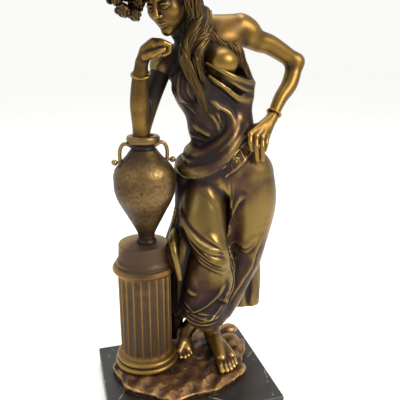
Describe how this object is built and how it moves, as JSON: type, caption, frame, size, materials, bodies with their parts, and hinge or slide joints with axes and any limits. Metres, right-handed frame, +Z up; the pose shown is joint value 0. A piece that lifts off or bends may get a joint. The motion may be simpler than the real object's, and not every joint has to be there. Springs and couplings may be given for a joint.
{
  "type": "bronze statue",
  "caption": "Cast bronze statue of a draped woman, her chin on her hand, leaning on a two-handled urn on a fluted column, on a black marble plinth.",
  "frame": {"origin": "middle of the plinth's underside", "axes": "+Z up, the figure faces -Y, and +X runs along the plinth's long side from the urn towards the figure"},
  "size_m": [0.3368, 0.2094, 0.6387],
  "materials": {
    "bronze": "cast bronze, golden brown patina with dark brown to purplish recesses, waxed",
    "marble": "honed black marble with thin pale veins"
  },
  "bodies": {
    "root": {"bronze_figure_group": "bronze", "bronze_urn": "bronze", "marble_plinth": "marble"}
  },
  "joints": []
}
